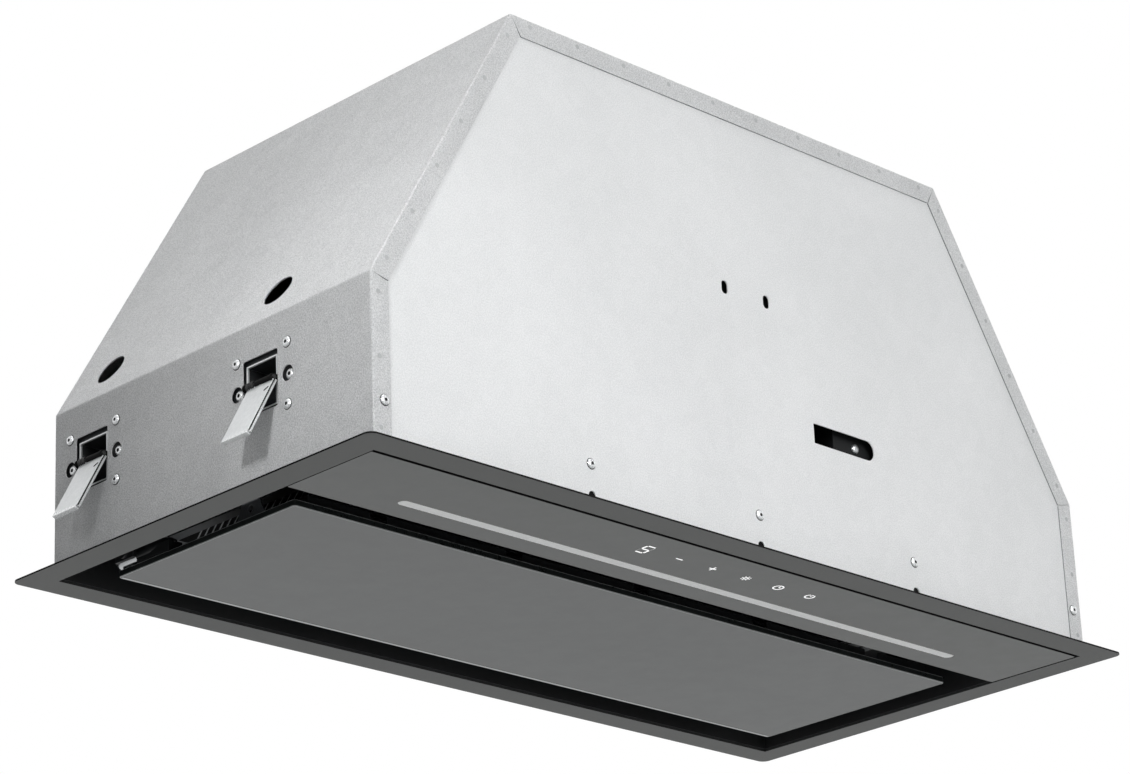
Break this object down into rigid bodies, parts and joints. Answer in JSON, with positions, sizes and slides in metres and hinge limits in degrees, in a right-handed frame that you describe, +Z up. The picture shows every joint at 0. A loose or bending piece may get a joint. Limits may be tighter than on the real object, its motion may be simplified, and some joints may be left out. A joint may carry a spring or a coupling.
{
  "type": "built-in canopy cooker hood",
  "caption": "Built-in canopy cooker hood with perimeter suction: galvanised sloping casing, slim flange, touch control strip, hinged glass panel and round duct outlet.",
  "frame": {"origin": "centre of the flange's underside, which is the lowest face", "axes": "+Z up towards the duct outlet, -Y towards the control strip at the front, +X to the right seen from the front"},
  "size_m": [0.6062, 0.29, 0.311],
  "materials": {
    "galvanised": "fine-grained galvanised sheet",
    "galvanised_plate": "fine-grained galvanised sheet, lighter",
    "grey_paint": "satin grey powder coat",
    "rivet_steel": "bright zinc",
    "black_pan": "black satin",
    "grey_glass": "grey back-painted glass",
    "panel_grey_glass": "grey back-painted glass",
    "diffuser": "frosted",
    "circuit_board": "circuit board",
    "black_plastic": "fine grain",
    "display": "moulded",
    "black_sheet": "black satin",
    "polished_steel": "polished",
    "bracket_steel": "zinc plated",
    "filter_aluminium": "satin",
    "clip_zinc": "zinc plated",
    "tab_zinc": "zinc plated",
    "spring_steel": "drawn wire",
    "screw_steel": "zinc plated",
    "blower_plastic": "moulded",
    "impeller_plastic": "moulded",
    "core_steel": "laminated",
    "motor_steel": "drawn",
    "bearing_bronze": "sintered",
    "spigot_plastic": "moulded",
    "flap_plastic": "moulded",
    "box_plastic": "moulded",
    "capacitor_case": "moulded"
  },
  "bodies": {
    "hood": {"casing_wrap": "galvanised", "front_plate": "galvanised_plate", "back_plate": "galvanised_plate", "flange_frame": "grey_paint", "casing_rivets": "rivet_steel", "air_pan": "black_pan", "control_glass": "grey_glass", "light_diffuser": "diffuser", "light_board": "circuit_board", "control_tray": "black_plastic", "touch_board": "circuit_board", "digit_display": "display", "hinge_brackets": "black_sheet", "hinge_pins": "rivet_steel", "catch_blocks": "black_plastic", "filter_frame_left": "filter_aluminium", "filter_mesh_left": "filter_aluminium", "filter_frame_right": "filter_aluminium", "filter_mesh_right": "filter_aluminium", "filter_keepers": "black_sheet", "clip_cage_front_left": "clip_zinc", "clip_cage_front_right": "clip_zinc", "clip_cage_back_left": "clip_zinc", "clip_cage_back_right": "clip_zinc", "clip_pins": "rivet_steel", "clip_rivets": "rivet_steel", "clip_screws": "screw_steel", "scroll_left": "blower_plastic", "scroll_right": "blower_plastic", "motor_stator": "core_steel", "motor_housing": "motor_steel", "motor_bearings": "bearing_bronze", "motor_bracket": "bracket_steel", "blower_screws": "screw_steel", "duct_spigot": "spigot_plastic", "flap_pin": "rivet_steel", "spigot_screws": "screw_steel", "control_box": "box_plastic", "run_capacitor": "capacitor_case", "cable_gland": "black_plastic"},
    "panel": {"panel_glass": "panel_grey_glass", "panel_tray": "black_sheet", "panel_hinge_arms": "polished_steel", "panel_strikes": "bracket_steel"},
    "rotor": {"impeller": "impeller_plastic", "rotor_shaft": "polished_steel", "rotor_core": "core_steel"},
    "flap_left": {"flap_left": "flap_plastic"},
    "flap_right": {"flap_right": "flap_plastic"},
    "filter_latch_left": {"filter_latch_left": "black_plastic"},
    "filter_latch_right": {"filter_latch_right": "black_plastic"},
    "clip_front_left": {"clip_tab_front_left": "tab_zinc", "clip_spring_front_left": "spring_steel"},
    "clip_front_right": {"clip_tab_front_right": "tab_zinc", "clip_spring_front_right": "spring_steel"},
    "clip_back_left": {"clip_tab_back_left": "tab_zinc", "clip_spring_back_left": "spring_steel"},
    "clip_back_right": {"clip_tab_back_right": "tab_zinc", "clip_spring_back_right": "spring_steel"}
  },
  "joints": [
    {"name": "panel_hinge", "type": "hinge", "parent": "hood", "child": "panel", "pos_m": [0, 0.092, 0.0103], "axis": [1, 0, 0], "range_deg": [0, 90]},
    {"name": "rotor_spin", "type": "hinge", "parent": "hood", "child": "rotor", "pos_m": [0, -0.028, 0.15], "axis": [1, 0, 0], "continuous": true},
    {"name": "flap_left_hinge", "type": "hinge", "parent": "hood", "child": "flap_left", "pos_m": [0, 0.036, 0.293], "axis": [0, 1, 0], "range_deg": [0, 75]},
    {"name": "flap_right_hinge", "type": "hinge", "parent": "hood", "child": "flap_right", "pos_m": [0, 0.036, 0.293], "axis": [0, 1, 0], "range_deg": [-75, 0]},
    {"name": "filter_latch_left_slide", "type": "slide", "parent": "hood", "child": "filter_latch_left", "axis": [0, 1, 0], "range_m": [0, 0.004], "stiffness_N_per_m": 400, "springref_m": -0.003},
    {"name": "filter_latch_right_slide", "type": "slide", "parent": "hood", "child": "filter_latch_right", "axis": [0, 1, 0], "range_m": [0, 0.004], "stiffness_N_per_m": 400, "springref_m": -0.003},
    {"name": "clip_front_left_hinge", "type": "hinge", "parent": "hood", "child": "clip_front_left", "pos_m": [-0.2843, -0.045, 0.06], "axis": [0, 1, 0], "range_deg": [-25, 0], "stiffness_Nm_per_rad": 0.12, "springref_deg": 17.19},
    {"name": "clip_front_right_hinge", "type": "hinge", "parent": "hood", "child": "clip_front_right", "pos_m": [0.2843, -0.045, 0.06], "axis": [0, 1, 0], "range_deg": [0, 25], "stiffness_Nm_per_rad": 0.12, "springref_deg": -17.19},
    {"name": "clip_back_left_hinge", "type": "hinge", "parent": "hood", "child": "clip_back_left", "pos_m": [-0.2843, 0.0955, 0.06], "axis": [0, 1, 0], "range_deg": [-25, 0], "stiffness_Nm_per_rad": 0.12, "springref_deg": 17.19},
    {"name": "clip_back_right_hinge", "type": "hinge", "parent": "hood", "child": "clip_back_right", "pos_m": [0.2843, 0.0955, 0.06], "axis": [0, 1, 0], "range_deg": [0, 25], "stiffness_Nm_per_rad": 0.12, "springref_deg": -17.19}
  ]
}
